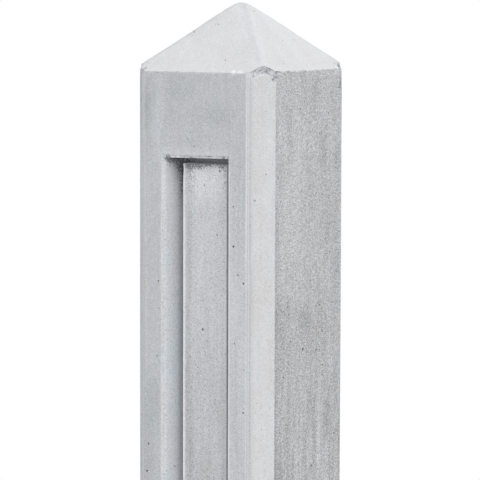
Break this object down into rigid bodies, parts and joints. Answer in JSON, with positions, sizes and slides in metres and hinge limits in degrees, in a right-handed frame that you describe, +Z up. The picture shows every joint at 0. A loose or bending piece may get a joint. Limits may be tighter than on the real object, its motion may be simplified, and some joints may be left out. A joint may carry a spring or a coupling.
{
  "type": "concrete fence post",
  "caption": "Square concrete fence post with chamfered corners, a rounded pyramid head, and a ribbed panel groove in each of its opposite faces.",
  "frame": {"origin": "centre of the square foot, on the surface the post stands on", "axes": "+Z up along the post; X along the fence line, through the two grooved faces; Y across the fence, through the two plain faces"},
  "size_m": [0.1, 0.1, 1.8],
  "materials": {
    "concrete": "bare cast concrete, matt"
  },
  "bodies": {
    "root": {"fence_post": "concrete"}
  },
  "joints": []
}
